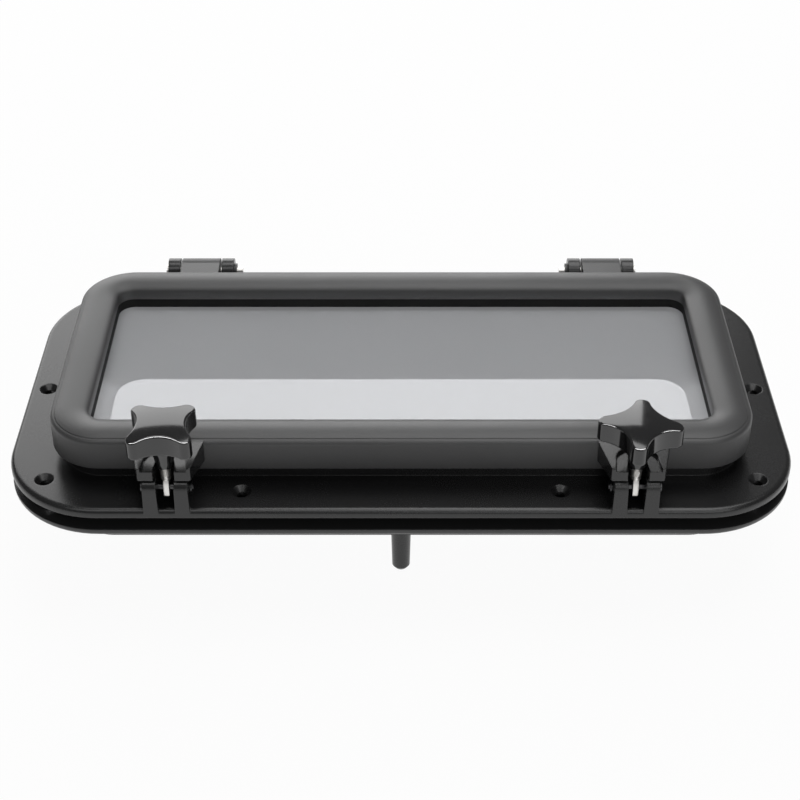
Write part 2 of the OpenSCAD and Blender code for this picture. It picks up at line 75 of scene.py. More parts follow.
# knob hubs, in metres
HUB_NOSE_RADIUS = 0.00452
HUB_TOP_RADIUS = 0.0079
HUB_BORE_RADIUS = 0.0033
HUB_BORE_DEPTH = 0.006
HUB_NOSE_ROUNDING = 0.0006
HUB_OVERLAP = 0.001

# swing bolts, in metres: heights over the pin at which the thread begins and the tongue ends
THREAD_ABOVE_PIN = 0.0072
TONGUE_ABOVE_PIN = 0.006
PIN_HOLE_RADIUS = 0.00205
TONGUE_CORNER = 0.0012
BOLT_END_CHAMFER = 0.0009
BOLT_END_MARGIN = 0.001
THREAD_OVERLAP = 0.00004

# stage, in metres
FLOOR_SIZE = 12
FLOOR_GAP = 0.0004
CAMERA_PLACE = (0, -0.80902, 0.5846)
CAMERA_SHIFT = -0.00125


class HatchSizes(PropertyGroup):
    """Sizes of the pieces that are modelled here, in metres"""

    knob_tip: FloatProperty(
        name="Lobe tip radius", description="Rounding of each lobe's tip", default=0.0042, min=0.002, max=0.006,
        unit="LENGTH")
    knob_waist: FloatProperty(
        name="Waist", description="Distance of the hollow flanks from the knob's axis", default=0.0134, min=0.009,
        max=0.015, unit="LENGTH")
    knob_rim: FloatProperty(
        name="Rim rounding", description="Rounding of the knob's upper edge", default=0.0011, min=0.0002, max=0.002,
        unit="LENGTH")
    knob_dome: FloatProperty(
        name="Dome", description="Height of the dome on the knob's head", default=0.0022, min=0.0005, max=0.004,
        unit="LENGTH")
    knob_radius: FloatProperty(
        name="Knob radius", description="Overall radius of the knobs over their lobes", default=0.0228, min=0.015,
        max=0.03, unit="LENGTH")
    hub_length: FloatProperty(
        name="Hub length", description="Length of the knob's conical hub", default=0.0162, min=0.01, max=0.02,
        unit="LENGTH")
    turn_left: FloatProperty(
        name="Left knob's turn", description="Turn of the left knob about its bolt", default=math.radians(46),
        subtype="ANGLE")
    turn_right: FloatProperty(
        name="Right knob's turn", description="Turn of the right knob about its bolt", default=math.radians(81.5),
        subtype="ANGLE")
    tongue_below: FloatProperty(
        name="Tongue", description="Length of the swing bolt's tongue below its pin", default=0.0044, min=0.003,
        max=0.006, subtype="DISTANCE")
    tongue_width: FloatProperty(
        name="Tongue width", description="Width of the swing bolt's tongue along its pin", default=0.0032, min=0.002,
        max=0.005, subtype="DISTANCE")
    thread_pitch: FloatProperty(
        name="Thread pitch", description="Pitch of the swing bolts' thread", default=0.001, min=0.0005, max=0.002,
        unit="LENGTH")
    thread_depth: FloatProperty(
        name="Thread depth", description="Depth of the swing bolts' thread", default=0.00058, min=0.0002, max=0.001,
        unit="LENGTH")


class HatchColours(PropertyGroup):
    """Colours of the finishes"""

    plastic: FloatVectorProperty(
        name="Smooth plastic", description="Smooth plastic of frame and spout", subtype="COLOR", size=3,
        default=(0.011, 0.011, 0.0113), min=0, max=1)
    # the trim ring's colour is the smooth plastic made lighter: painted light for the bright surroundings that its
    # front wall mirrors
    trim: FloatVectorProperty(
        name="Trim ring", description="Smooth plastic of the trim ring", subtype="COLOR", size=3,
        default=(0.032, 0.032, 0.0325), min=0, max=1)
    fork: FloatVectorProperty(
        name="Fork brackets", description="Smooth plastic of the lid's fork brackets", subtype="COLOR", size=3,
        default=(0.016, 0.016, 0.0163), min=0, max=1)
    lid: FloatVectorProperty(
        name="Grained plastic", description="Grained plastic of the lid", subtype="COLOR", size=3,
        default=(0.056, 0.056, 0.0568), min=0, max=1)
    knob: FloatVectorProperty(
        name="Knob plastic", description="Gloss plastic of the knobs", subtype="COLOR", size=3,
        default=(0.010, 0.010, 0.0105), min=0, max=1)
    pane: FloatVectorProperty(
        name="Pane", description="Tint of the pane", subtype="COLOR", size=3, default=(0.76, 0.768, 0.785), min=0,
        max=1)
    rubber: FloatVectorProperty(
        name="Rubber", description="Glazing seal and gasket", subtype="COLOR", size=3, default=(0.005, 0.005, 0.005),
        min=0, max=1)
    steel: FloatVectorProperty(
        name="Stainless steel", description="Swing bolts and hinge pins", subtype="COLOR", size=3,
        default=(0.80, 0.785, 0.76), min=0, max=1)
    dark_steel: FloatVectorProperty(
        name="Blackened steel", description="Trunnion pins and their clips", subtype="COLOR", size=3,
        default=(0.09, 0.09, 0.092), min=0, max=1)
    clip: FloatVectorProperty(
        name="Hinge clips", description="Plastic discs on the hinge pins", subtype="COLOR", size=3,
        default=(0.03, 0.03, 0.031), min=0, max=1)
    brass: FloatVectorProperty(
        name="Brass", description="Threaded inserts", subtype="COLOR", size=3, default=(0.78, 0.58, 0.25), min=0,
        max=1)
    floor: FloatVectorProperty(
        name="Floor", description="White floor", subtype="COLOR", size=3, default=(0.92, 0.92, 0.92), min=0,
        max=1)


class HatchStage(PropertyGroup):
    """Lamps and camera"""

    back_power: FloatProperty(name="Back softbox", description="Power of the softbox behind the hatch", default=30.0,
                              min=0, max=200, unit="POWER")
    top_power: FloatProperty(name="Top softbox", description="Power of the softbox over the hatch", default=19.0,
                             min=0, max=200, unit="POWER")
    edge_power: FloatProperty(name="Edge softbox", description="Power of the softbox that only the knobs mirror",
                              default=210.0, min=0, max=400, unit="POWER")
    rim_power: FloatProperty(name="Rim softbox", description="Power of the softbox that the moulded rims mirror",
                             default=8.0, min=0, max=200, unit="POWER")
    pane_power: FloatProperty(name="Pane softbox", description="Power of the softbox that lights only the pane's film",
                              default=31.0, min=0, max=200, unit="POWER")
    front_power: FloatProperty(name="Front softbox", description="Power of the softbox over the camera", default=7.0,
                               min=0, max=200, unit="POWER")
    world_strength: FloatProperty(name="Surround", description="Strength of the white surround", default=0.18, min=0,
                                  max=2)
    lens: FloatProperty(name="Lens", description="Focal length in millimetres", default=74.75, min=20, max=200)
    elevation: FloatProperty(name="Elevation", description="Camera's angle above the horizon",
                             default=math.radians(36), min=0, max=math.radians(90), subtype="ANGLE")


# shader groups and finishes

def socket(group, name, kind, way, default=None):
    """Adds one named socket to a shader group"""
    made = group.interface.new_socket(name=name, in_out=way, socket_type=kind)
    if default is not None:
        made.default_value = default
    return made


def moulded_grain_group():
    """Spark-eroded grain of a moulding tool: a height for the bump and a roughness that varies with it"""
    group = bpy.data.node_groups.get("moulded grain")
    if group:
        return group
    group = bpy.data.node_groups.new("moulded grain", "ShaderNodeTree")
    socket(group, "Grain per metre", "NodeSocketFloat", "INPUT", 1400.0)
    socket(group, "Roughness", "NodeSocketFloat", "INPUT", 0.4)
    socket(group, "Variation", "NodeSocketFloat", "INPUT", 0.1)
    socket(group, "Height", "NodeSocketFloat", "OUTPUT")
    socket(group, "Roughness", "NodeSocketFloat", "OUTPUT")
    n, link = group.nodes, group.links.new
    gi, go = n.new("NodeGroupInput"), n.new("NodeGroupOutput")
    place = n.new("ShaderNodeTexCoord")
    fine = n.new("ShaderNodeTexNoise")
    fine.inputs["Detail"].default_value = 3.0
    fine.inputs["Roughness"].default_value = 0.6
    pits = n.new("ShaderNodeTexVoronoi")
    pits.feature = "SMOOTH_F1"
    half = n.new("ShaderNodeMath")
    half.operation = "MULTIPLY"
    half.inputs[1].default_value = 0.6
    mix = n.new("ShaderNodeMath")
    mix.operation = "MULTIPLY_ADD"
    mix.inputs[1].default_value = 0.45
    cloud = n.new("ShaderNodeTexNoise")
    cloud.inputs["Scale"].default_value = 28.0
    cloud.inputs["Detail"].default_value = 4.0
    both = n.new("ShaderNodeMath")
    both.operation = "ADD"
    spread = n.new("ShaderNodeMath")
    spread.operation = "MULTIPLY_ADD"
    centre = n.new("ShaderNodeMath")
    centre.operation = "SUBTRACT"
    centre.inputs[1].default_value = 1.0
    for tex in (fine, pits, cloud):
        link(place.outputs["Object"], tex.inputs["Vector"])
    link(gi.outputs["Grain per metre"], fine.inputs["Scale"])
    link(gi.outputs["Grain per metre"], half.inputs[0])
    link(half.outputs[0], pits.inputs["Scale"])
    link(pits.outputs["Distance"], mix.inputs[0])
    link(fine.outputs["Fac"], mix.inputs[2])
    link(mix.outputs[0], go.inputs["Height"])
    link(fine.outputs["Fac"], both.inputs[0])
    link(cloud.outputs["Fac"], both.inputs[1])
    link(both.outputs[0], centre.inputs[0])
    link(centre.outputs[0], spread.inputs[0])
    link(gi.outputs["Variation"], spread.inputs[1])
    link(gi.outputs["Roughness"], spread.inputs[2])
    link(spread.outputs[0], go.inputs["Roughness"])
    return group


def tone_group():
    """A base colour that drifts a little over the surface, with sparse pale dust specks"""
    group = bpy.data.node_groups.get("tone and dust")
    if group:
        return group
    group = bpy.data.node_groups.new("tone and dust", "ShaderNodeTree")
    socket(group, "Colour", "NodeSocketColor", "INPUT", (0.02, 0.02, 0.02, 1))
    socket(group, "Drift", "NodeSocketFloat", "INPUT", 0.2)
    socket(group, "Dust", "NodeSocketFloat", "INPUT", 0.05)
    socket(group, "Colour", "NodeSocketColor", "OUTPUT")
    n, link = group.nodes, group.links.new
    gi, go = n.new("NodeGroupInput"), n.new("NodeGroupOutput")
    place = n.new("ShaderNodeTexCoord")
    slow = n.new("ShaderNodeTexNoise")
    slow.inputs["Scale"].default_value = 16.0
    slow.inputs["Detail"].default_value = 5.0
    bright = n.new("ShaderNodeMath")
    bright.operation = "SUBTRACT"
    bright.inputs[1].default_value = 0.5
    amount = n.new("ShaderNodeMath")
    amount.operation = "MULTIPLY_ADD"
    amount.inputs[2].default_value = 1.0
    tone = n.new("ShaderNodeVectorMath")
    tone.operation = "SCALE"
    specks = n.new("ShaderNodeTexNoise")
    specks.inputs["Scale"].default_value = 420.0
    specks.inputs["Detail"].default_value = 2.0
    ramp = n.new("ShaderNodeValToRGB")
    ramp.color_ramp.elements[0].position = 0.70
    ramp.color_ramp.elements[1].position = 0.78
    some = n.new("ShaderNodeMath")
    some.operation = "MULTIPLY"
    dust = n.new("ShaderNodeMix")
    dust.data_type = "RGBA"
    dust.inputs["B"].default_value = (0.30, 0.30, 0.29, 1)
    link(place.outputs["Object"], slow.inputs["Vector"])
    link(place.outputs["Object"], specks.inputs["Vector"])
    link(slow.outputs["Fac"], bright.inputs[0])
    link(bright.outputs[0], amount.inputs[0])
    link(gi.outputs["Drift"], amount.inputs[1])
    link(gi.outputs["Colour"], tone.inputs[0])
    link(amount.outputs[0], tone.inputs["Scale"])
    link(specks.outputs["Fac"], ramp.inputs["Fac"])
    link(ramp.outputs["Color"], some.inputs[0])
    link(gi.outputs["Dust"], some.inputs[1])
    link(some.outputs[0], dust.inputs["Factor"])
    link(tone.outputs["Vector"], dust.inputs["A"])
    link(dust.outputs["Result"], go.inputs["Colour"])
    return group


def finish_material(name, colour, grain, roughness, variation, drift, dust, depth, metallic=0.0, ior=1.55,
                    specular=0.5, edge=0.0):
    """A Principled finish fed by the grain and tone groups; edge is the radius of its soft edges"""
    made = bpy.data.materials.get(name)
    if made:
        return made
    made = bpy.data.materials.new(name)
    made.use_nodes = True
    made.diffuse_color = (*colour, 1)
    n, link = made.node_tree.nodes, made.node_tree.links.new
    shader = n["Principled BSDF"]
    shader.inputs["Metallic"].default_value = metallic
    shader.inputs["IOR"].default_value = ior
    shader.inputs["Specular IOR Level"].default_value = specular
    texture = n.new("ShaderNodeGroup")
    texture.node_tree = moulded_grain_group()
    texture.inputs["Grain per metre"].default_value = grain
    texture.inputs["Roughness"].default_value = roughness
    texture.inputs["Variation"].default_value = variation
    tone = n.new("ShaderNodeGroup")
    tone.node_tree = tone_group()
    tone.inputs["Colour"].default_value = (*colour, 1)
    tone.inputs["Drift"].default_value = drift
    tone.inputs["Dust"].default_value = dust
    bump = n.new("ShaderNodeBump")
    bump.inputs["Strength"].default_value = 1.0
    bump.inputs["Distance"].default_value = depth
    if edge:
        soft = n.new("ShaderNodeBevel")
        soft.samples = 6
        soft.inputs["Radius"].default_value = edge
        link(soft.outputs["Normal"], bump.inputs["Normal"])
    link(texture.outputs["Height"], bump.inputs["Height"])
    link(texture.outputs["Roughness"], shader.inputs["Roughness"])
    link(bump.outputs["Normal"], shader.inputs["Normal"])
    link(tone.outputs["Colour"], shader.inputs["Base Color"])
    return made


def smooth_ahead_of(made, y, roughness, colour):
    """Makes the part of a finish that lies ahead of y nearly free of grain, in a colour of its own"""
    n, link = made.node_tree.nodes, made.node_tree.links.new
    if n.get("ahead"):
        return
    shader, bump = n["Principled BSDF"], n["Bump"]
    grained = shader.inputs["Roughness"].links[0].from_socket
    toned = shader.inputs["Base Color"].links[0].from_socket
    place = n.new("ShaderNodeTexCoord")
    split = n.new("ShaderNodeSeparateXYZ")
    ahead = n.new("ShaderNodeMath")
    ahead.name = "ahead"
    ahead.operation = "LESS_THAN"
    ahead.inputs[1].default_value = y
    choose = n.new("ShaderNodeMix")
    choose.inputs["B"].default_value = roughness
    rest = n.new("ShaderNodeMath")
    rest.operation = "MULTIPLY_ADD"
    rest.inputs[1].default_value = -0.8
    rest.inputs[2].default_value = 1.0
    shade = n.new("ShaderNodeMix")
    shade.data_type = "RGBA"
    shade.inputs["B"].default_value = (*colour, 1)
    link(place.outputs["Object"], split.inputs[0])
    link(split.outputs["Y"], ahead.inputs[0])
    link(ahead.outputs[0], choose.inputs["Factor"])
    link(grained, choose.inputs["A"])
    link(choose.outputs["Result"], shader.inputs["Roughness"])
    link(ahead.outputs[0], rest.inputs[0])
    link(rest.outputs[0], bump.inputs["Strength"])
    link(ahead.outputs[0], shade.inputs["Factor"])
    link(toned, shade.inputs["A"])
    link(shade.outputs["Result"], shader.inputs["Base Color"])


def soften_within(made, half_x, half_y, edge):
    """Widens the soft edges of a finish inside a rectangle about the origin"""
    n, link = made.node_tree.nodes, made.node_tree.links.new
    if n.get("within"):
        return
    soft = n["Bevel"]
    place = n.new("ShaderNodeTexCoord")
    split = n.new("ShaderNodeSeparateXYZ")
    within = n.new("ShaderNodeMath")
    within.name = "within"
    within.operation = "MULTIPLY"
    choose = n.new("ShaderNodeMix")
    choose.inputs["A"].default_value = soft.inputs["Radius"].default_value
    choose.inputs["B"].default_value = edge
    link(place.outputs["Object"], split.inputs[0])
    for index, (axis, half) in enumerate((("X", half_x), ("Y", half_y))):
        near = n.new("ShaderNodeMath")
        near.operation = "COMPARE"
        near.inputs[1].default_value = 0.0
        near.inputs[2].default_value = half
        link(split.outputs[axis], near.inputs[0])
        link(near.outputs[0], within.inputs[index])
    link(within.outputs[0], choose.inputs["Factor"])
    link(choose.outputs["Result"], soft.inputs["Radius"])


def pane_material(colour):
    """Tinted acrylic under a faint milky film"""
    made = bpy.data.materials.get("tinted pane")
    if made:
        return made
    made = finish_material(
        "tinted pane", colour, grain=90.0, roughness=0.05, variation=0.03, drift=0.04, dust=0.0, depth=0.0000001)
    shader = made.node_tree.nodes["Principled BSDF"]
    shader.inputs["IOR"].default_value = 1.05
    shader.inputs["Transmission Weight"].default_value = 0.72
    return made


def steel_material(colour):
    """Satin stainless steel"""
    return finish_material(
        "satin stainless", colour, grain=700.0, roughness=0.31, variation=0.12, drift=0.1, dust=0.0, depth=0.000006,
        metallic=0.88)


def dress(node, material):
    """Gives a CAD node its finish"""
    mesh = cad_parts[node].data
    mesh.materials.clear()
    mesh.materials.append(material)


# modelling helpers

def start_clean():
    """Leaves edit mode and deselects everything"""
    if bpy.context.object and bpy.context.object.mode != "OBJECT":
        bpy.ops.object.mode_set(mode="OBJECT")
    bpy.ops.object.select_all(action="DESELECT")


def only(piece):
    """Makes one piece the active and only selected object"""
    start_clean()
    piece.select_set(True)
    bpy.context.view_layer.objects.active = piece


def pick(piece, kind, test):
    """In edit mode, selects the verts, edges or faces whose place passes the test"""
    bpy.ops.mesh.select_mode(type={"vertices": "VERT", "edges": "EDGE", "polygons": "FACE"}[kind])
    bpy.ops.mesh.select_all(action="DESELECT")
    bpy.ops.object.mode_set(mode="OBJECT")
    mesh = piece.data
    for item in getattr(mesh, kind):
        if kind == "vertices":
            place = item.co
        elif kind == "edges":
            place = (mesh.vertices[item.vertices[0]].co + mesh.vertices[item.vertices[1]].co) / 2
        else:
            place = item.center
        item.select = bool(test(place, item))
    bpy.ops.object.mode_set(mode="EDIT")


def place_in_mesh(piece):
    """Moves the piece's place into its mesh, so that its object sits at the origin"""
    only(piece)
    bpy.ops.object.transform_apply(location=True, rotation=True, scale=True)


def tidy(piece, angle):
    """Merges doubles, turns faces outwards and smooths below the angle"""
    only(piece)
    bpy.ops.object.mode_set(mode="EDIT")
    bpy.ops.mesh.select_all(action="SELECT")
    bpy.ops.mesh.remove_doubles(threshold=0.000002)
    bpy.ops.mesh.normals_make_consistent(inside=False)
    bpy.ops.object.mode_set(mode="OBJECT")
    bpy.ops.object.shade_smooth_by_angle(angle=math.radians(angle))


def apply(piece, name):
    """Applies a modifier by name"""
    only(piece)
    bpy.ops.object.modifier_apply(modifier=name)


def join(pieces, name):
    """Joins pieces into the first one"""
    start_clean()
    for piece in pieces:
        piece.select_set(True)
    bpy.context.view_layer.objects.active = pieces[0]
    bpy.ops.object.join()
    made = bpy.context.object
    made.name = name
    made.data.name = name
    return made


def single_vertex(name, place):
    """A mesh of one vertex, ready to be spun into a line"""
    start_clean()
    bpy.ops.mesh.primitive_plane_add(size=0.001, location=(0, 0, 0))
    piece = bpy.context.object
    piece.name = name
    bpy.ops.object.mode_set(mode="EDIT")
    bpy.ops.mesh.select_all(action="SELECT")
    bpy.ops.mesh.merge(type="CENTER")
    bpy.ops.mesh.select_mode(type="VERT")
    bpy.ops.mesh.select_all(action="SELECT")
    bpy.ops.transform.translate(value=place)
    return piece


def edge_of_arc(angle, centre, axis, steps):
    """Spins the selected end of a line on by an angle about a centre; with no window, spin turns the other way"""
    bpy.ops.mesh.spin(steps=steps, dupli=False, angle=-angle, use_auto_merge=False, center=centre, axis=axis)


def bolt_axis(side):
    """X and Y of a swing bolt's axis, from the CAD bolt"""
    low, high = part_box("swing_bolt_" + side)
    return (low.x + high.x) / 2, (low.y + high.y) / 2


# knobs

def knob_head(sizes, low, top, radius):
    """Lobed head: spun outline, raised wall, domed top and rounded rim"""
    tip, waist, dome = sizes.knob_tip, sizes.knob_waist, sizes.knob_dome
    reach = radius - tip
    # each hollow flank is an arc about a point (p, p) on the diagonal, tangent to both of its tips
    k = tip - waist
    far = (reach * reach - k * k) / (2 * k + math.sqrt(2) * reach)
    p = far / math.sqrt(2)
    tip_a = math.atan2(p, p - reach)
    flank_a = math.atan2(-p, reach - p)
    head = single_vertex("knob_head", (reach + tip * math.cos(-tip_a), tip * math.sin(-tip_a), low))
    for lobe in range(4):
        a = math.pi / 2 * lobe
        c, s = math.cos(a), math.sin(a)
        edge_of_arc(2 * tip_a, (reach * c, reach * s, low), (0, 0, 1), 16)
        edge_of_arc(-(1.5 * math.pi + 2 * flank_a), (p * c - p * s, p * s + p * c, low), (0, 0, 1), 16)
    bpy.ops.mesh.select_all(action="SELECT")
    bpy.ops.mesh.remove_doubles(threshold=0.00005)
    bpy.ops.mesh.select_all(action="SELECT")
    bpy.ops.mesh.edge_face_add()
    bpy.ops.mesh.extrude_region_move(TRANSFORM_OT_translate={"value": (0, 0, top - dome - low)})
    # rings towards the centre, which turn from the outline's shape to round
    for share, even in ((0.85, 0), (0.82, 0.35), (0.78, 0.7), (0.72, 1), (0.66, 1), (0.6, 1), (0.5, 1)):
        bpy.ops.mesh.extrude_region()
        bpy.ops.transform.resize(value=(share, share, 1), center_override=(0, 0, top - dome))
        bpy.ops.transform.tosphere(value=even)
    bpy.ops.mesh.merge(type="CENTER")
    pick(head, "vertices", lambda place, item: place.z > low + 0.001)
    bpy.ops.object.vertex_group_add()
    bpy.ops.object.vertex_group_assign()
    bpy.ops.object.mode_set(mode="OBJECT")
    group = head.vertex_groups[0].name
    ball = (radius * radius + dome * dome) / (2 * dome)
    cap = single_vertex("knob_cap", (0, 0, top))
    edge_of_arc(math.asin(radius / ball) * 1.1, (0, 0, top - ball), (0, 1, 0), 14)
    bpy.ops.mesh.select_all(action="SELECT")
    edge_of_arc(2 * math.pi, (0, 0, 0), (0, 0, 1), 72)
    bpy.ops.mesh.select_all(action="SELECT")
    bpy.ops.mesh.remove_doubles(threshold=0.000005)
    bpy.ops.object.mode_set(mode="OBJECT")
    wrap = head.modifiers.new("dome", "SHRINKWRAP")
    wrap.wrap_method = "PROJECT"
    wrap.target = cap
    wrap.vertex_group = group
    wrap.use_project_z = True
    wrap.use_positive_direction = True
    wrap.use_negative_direction = True
    apply(head, "dome")
    bpy.data.objects.remove(cap)
    head.vertex_groups.clear()
    tidy(head, 40)
    rim = head.modifiers.new("rim", "BEVEL")
    rim.width = sizes.knob_rim
    rim.segments = 4
    rim.use_clamp_overlap = False
    rim.limit_method = "ANGLE"
    rim.angle_limit = math.radians(45)
    apply(head, "rim")
    return head


def knob_hub(low, high, nose_r, top_r, bore_r):
    """Conical hub with a bored and rounded nose"""
    start_clean()
    bpy.ops.mesh.primitive_cone_add(
        vertices=64, radius1=nose_r, radius2=top_r, depth=high - low, location=(0, 0, (low + high) / 2))
    hub = bpy.context.object
    place_in_mesh(hub)
    bpy.ops.object.mode_set(mode="EDIT")
    pick(hub, "polygons", lambda place, item: item.normal.z < -0.9)
    bpy.ops.mesh.inset(thickness=HUB_NOSE_ROUNDING, depth=0.0004)
    bpy.ops.mesh.inset(thickness=nose_r - HUB_NOSE_ROUNDING - bore_r, depth=0)
    bpy.ops.mesh.extrude_region_move(TRANSFORM_OT_translate={"value": (0, 0, HUB_BORE_DEPTH)})
    bpy.ops.object.mode_set(mode="OBJECT")
    return hub


class HATCH_OT_knobs(Operator):
    """Model the lobed knobs with domed heads and conical hubs"""

    bl_idname = "hatch.knobs"
    bl_label = "Lobed knobs"

    def execute(self, context):
        sizes, colours = context.scene.hatch_sizes, context.scene.hatch_colours
        gloss = finish_material(
            "gloss knob plastic", colours.knob, grain=160.0, roughness=0.09, variation=0.04, drift=0.15, dust=0.0,
            depth=0.000002, ior=1.66)
        for side, turn in (("left", sizes.turn_left), ("right", sizes.turn_right)):
            low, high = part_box("knob_" + side)
            head_low = low.z + sizes.hub_length
            head = knob_head(sizes, head_low, high.z, sizes.knob_radius)
            hub = knob_hub(low.z, head_low + HUB_OVERLAP, HUB_NOSE_RADIUS, HUB_TOP_RADIUS, HUB_BORE_RADIUS)
            knob = join([head, hub], "lobed_knob_" + side)
            x, y = bolt_axis(side)
            knob.rotation_euler = (0, 0, turn)
            knob.location = (x, y, 0)
            place_in_mesh(knob)
            tidy(knob, 40)
            knob.data.materials.clear()
            knob.data.materials.append(gloss)
            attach(knob, "knob_" + side)
            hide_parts("knob_" + side)
        return {"FINISHED"}


# swing bolts

def bolt_thread(sizes, low, high, radius):
    """One tooth's outline swept up the shank by a screw modifier"""
    pitch, depth = sizes.thread_pitch, sizes.thread_depth
    thread = single_vertex("thread", (radius - depth, 0, low))
    for dx, dz in ((depth, 0.42 * pitch), (0, 0.12 * pitch), (-depth, 0.42 * pitch), (0, 0.04 * pitch)):
        bpy.ops.mesh.extrude_region_move(TRANSFORM_OT_translate={"value": (dx, 0, dz)})
    bpy.ops.object.mode_set(mode="OBJECT")
    turn = thread.modifiers.new("turns", "SCREW")
    turn.axis = "Z"
    turn.screw_offset = pitch
    turn.iterations = int((high - low) / pitch) - 1
    turn.steps = 36
    turn.render_steps = 36
    turn.use_merge_vertices = True
    turn.merge_threshold = 0.000005
    apply(thread, "turns")
    return thread


def bolt_core(low, high, radius, chamfer):
    """Plain core under the thread, with a chamfered end and a swaged neck"""
    start_clean()
    bpy.ops.mesh.primitive_cylinder_add(
        vertices=48, radius=radius, depth=high - low, location=(0, 0, (low + high) / 2))
    core = bpy.context.object
    place_in_mesh(core)
    bpy.ops.object.mode_set(mode="EDIT")
    pick(core, "polygons", lambda place, item: item.normal.z > 0.9)
    bpy.ops.mesh.extrude_region_move(TRANSFORM_OT_translate={"value": (0, 0, chamfer)})
    bpy.ops.transform.resize(value=(0.75, 0.75, 1), center_override=(0, 0, high + chamfer))
    pick(core, "polygons", lambda place, item: item.normal.z < -0.9)
    bpy.ops.mesh.extrude_region_move(TRANSFORM_OT_translate={"value": (0, 0, -0.0006)})
    bpy.ops.transform.resize(value=(1.2, 1.2, 1), center_override=(0, 0, low))
    bpy.ops.mesh.extrude_region_move(TRANSFORM_OT_translate={"value": (0, 0, -0.0005)})
    bpy.ops.mesh.extrude_region_move(TRANSFORM_OT_translate={"value": (0, 0, -0.0022)})
    bpy.ops.transform.resize(value=(0.52, 0.9, 1), center_override=(0, 0, low))
    bpy.ops.object.mode_set(mode="OBJECT")
    return core


def bolt_tongue(axis_z, below, deep, thick, neck_z, neck_deep, hole):
    """Flat tongue: a block drawn in to the neck, rounded at its foot and bored for the pin"""
    start_clean()
    bpy.ops.mesh.primitive_cube_add(size=1, location=(0, 0, axis_z - below / 2), scale=(thick, deep, below))
    tongue = bpy.context.object
    tongue.name = "tongue"
    place_in_mesh(tongue)
    bpy.ops.object.mode_set(mode="EDIT")
    pick(tongue, "polygons", lambda place, item: item.normal.z > 0.9)
    bpy.ops.mesh.extrude_region_move(TRANSFORM_OT_translate={"value": (0, 0, neck_z)})
    bpy.ops.transform.resize(value=(1, neck_deep / deep, 1), center_override=(0, 0, axis_z))
    pick(tongue, "edges", lambda place, item: place.z < axis_z - below + 0.0001 and abs(place.y) > 0.4 * deep)
    bpy.ops.mesh.bevel(offset=TONGUE_CORNER, segments=5)
    bpy.ops.object.mode_set(mode="OBJECT")
    soft = tongue.modifiers.new("edges", "BEVEL")
    soft.width = 0.0003
    soft.segments = 2
    soft.limit_method = "ANGLE"
    soft.angle_limit = math.radians(50)
    apply(tongue, "edges")
    start_clean()
    bpy.ops.mesh.primitive_cylinder_add(
        vertices=48, radius=hole, depth=2 * thick, rotation=(0, math.pi / 2, 0), location=(0, 0, axis_z))
    drill = bpy.context.object
    place_in_mesh(drill)
    bore = tongue.modifiers.new("bore", "BOOLEAN")
    bore.operation = "DIFFERENCE"
    bore.solver = "EXACT"
    bore.object = drill
    apply(tongue, "bore")
    bpy.data.objects.remove(drill)
    return tongue


class HATCH_OT_swing_bolts(Operator):
    """Model the threaded swing bolts with their flat tongues"""

    bl_idname = "hatch.swing_bolts"
    bl_label = "Swing bolts"

    def execute(self, context):
        sizes, colours = context.scene.hatch_sizes, context.scene.hatch_colours
        steel = steel_material(colours.steel)
        for side in ("left", "right"):
            low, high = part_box("swing_bolt_" + side)
            radius = (high.x - low.x) / 2
            axis_z = low.z + sizes.tongue_below
            start, end = axis_z + THREAD_ABOVE_PIN, high.z - BOLT_END_MARGIN
            thread = bolt_thread(sizes, start, end, radius)
            core = bolt_core(start, end, radius - sizes.thread_depth + THREAD_OVERLAP, BOLT_END_CHAMFER)
            tongue = bolt_tongue(
                axis_z, sizes.tongue_below, high.y - low.y, sizes.tongue_width, TONGUE_ABOVE_PIN, 2 * radius,
                PIN_HOLE_RADIUS)
            bolt = join([thread, core, tongue], "threaded_bolt_" + side)
            x, y = bolt_axis(side)
            bolt.location = (x, y, 0)
            place_in_mesh(bolt)
            tidy(bolt, 35)
            bolt.data.materials.clear()
            bolt.data.materials.append(steel)
            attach(bolt, "bolt_" + side)
            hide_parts("swing_bolt_" + side)
        return {"FINISHED"}


# finishes of the CAD nodes

class HATCH_OT_mouldings(Operator):
    """Give the frame, lid, trim ring and spout their moulded plastic"""

    bl_idname = "hatch.mouldings"
    bl_label = "Moulded plastic"

    def execute(self, context):
        colours = context.scene.hatch_colours
        smooth = finish_material(
            "smooth moulded plastic", colours.plastic, grain=1800.0, roughness=0.27, variation=0.03, drift=0.25,
            dust=0.004, depth=0.000004, edge=0.0009)
        grained = finish_material(
            "grained moulded plastic", colours.lid, grain=1500.0, roughness=0.42, variation=0.10, drift=0.25,
            dust=0.015, depth=0.00006, edge=0.0009)
        # the trim ring gets a lighter copy of the smooth plastic, painted light for what its front wall mirrors
        trim = finish_material(
            "trim ring plastic", colours.trim, grain=1800.0, roughness=0.3, variation=0.03, drift=0.25, dust=0.004,
            depth=0.000004, edge=0.0009)
        for node in ("base_frame", "drain_spout"):
            dress(node, smooth)
        dress("trim_ring", trim)
        low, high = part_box("lid_frame")
        front = low.y + FORK_LENGTH
        smooth_ahead_of(grained, front, roughness=0.2, colour=colours.fork)
        soften_within(grained, high.x - RAIL_INSIDE, -front - RAIL_INSIDE, edge=0.005)
        dress("lid_frame", grained)
        return {"FINISHED"}


class HATCH_OT_glazing(Operator):
    """Give the pane, its seal and the lid gasket their finishes"""

    bl_idname = "hatch.glazing"
    bl_label = "Glazing"

    def execute(self, context):
        colours = context.scene.hatch_colours
        dress("glass_pane", pane_material(colours.pane))
        rubber = finish_material(
            "seal rubber", colours.rubber, grain=900.0, roughness=0.7, variation=0.12, drift=0.3, dust=0.02,
            depth=0.00004, specular=0.2)
        for node in ("glazing_seal", "lid_gasket"):
            dress(node, rubber)
        return {"FINISHED"}


